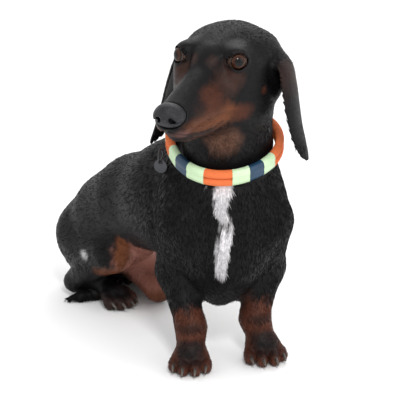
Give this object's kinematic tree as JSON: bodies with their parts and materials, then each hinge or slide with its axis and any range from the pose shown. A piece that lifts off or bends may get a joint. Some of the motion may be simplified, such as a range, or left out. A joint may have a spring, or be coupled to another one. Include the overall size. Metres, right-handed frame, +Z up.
{
  "type": "dachshund, smooth-haired, seated",
  "caption": "Smooth-haired black and tan dachshund sitting on the floor with its head turned, wearing a round two-cord collar and a blank tag.",
  "frame": {"origin": "middle of the underside of the bounding box, on the floor", "axes": "+Z up, +X to the dog's left across the chest, -Y the way the body faces"},
  "size_m": [0.194, 0.3818, 0.3549],
  "materials": {
    "coat_black": "short black hair with a soft sheen",
    "coat_tan": "short mahogany and black hair",
    "eye": "wet brown eye",
    "nose_leather": "damp pebbled leather",
    "claw": "grey horn",
    "cord_orange": "braided cord",
    "sleeve_mint": "smooth sleeve",
    "sleeve_navy": "smooth sleeve",
    "tag_metal": "grey metal"
  },
  "bodies": {
    "root": {"claw_fore_left_1": "claw", "claw_fore_left_2": "claw", "claw_fore_left_3": "claw", "claw_fore_left_4": "claw", "claw_fore_right_1": "claw", "claw_fore_right_2": "claw", "claw_fore_right_3": "claw", "claw_fore_right_4": "claw", "claw_hind_left_1": "claw", "claw_hind_left_2": "claw", "claw_hind_left_3": "claw", "claw_hind_left_4": "claw", "claw_hind_right_1": "claw", "claw_hind_right_2": "claw", "claw_hind_right_3": "claw", "claw_hind_right_4": "claw", "collar_mint_10": "sleeve_mint", "collar_mint_12": "sleeve_mint", "collar_mint_14": "sleeve_mint", "collar_mint_16": "sleeve_mint", "collar_mint_2": "sleeve_mint", "collar_mint_4": "sleeve_mint", "collar_mint_6": "sleeve_mint", "collar_mint_8": "sleeve_mint", "collar_navy_11": "sleeve_navy", "collar_navy_15": "sleeve_navy", "collar_navy_3": "sleeve_navy", "collar_navy_7": "sleeve_navy", "collar_orange_1": "cord_orange", "collar_orange_13": "cord_orange", "collar_orange_5": "cord_orange", "collar_orange_9": "cord_orange", "ear_left": "coat_black", "ear_right": "coat_black", "eye_left": "eye", "eye_right": "eye", "foreleg_left": "coat_black", "foreleg_right": "coat_black", "forepaw_left": "coat_tan", "forepaw_right": "coat_tan", "head": "coat_black", "hindfoot_left": "coat_tan", "hindfoot_right": "coat_tan", "hindleg_left": "coat_black", "hindleg_right": "coat_black", "neck": "coat_black", "nose": "nose_leather", "tag": "tag_metal", "tag_ring": "tag_metal", "tail": "coat_black", "torso": "coat_black"}
  },
  "joints": []
}
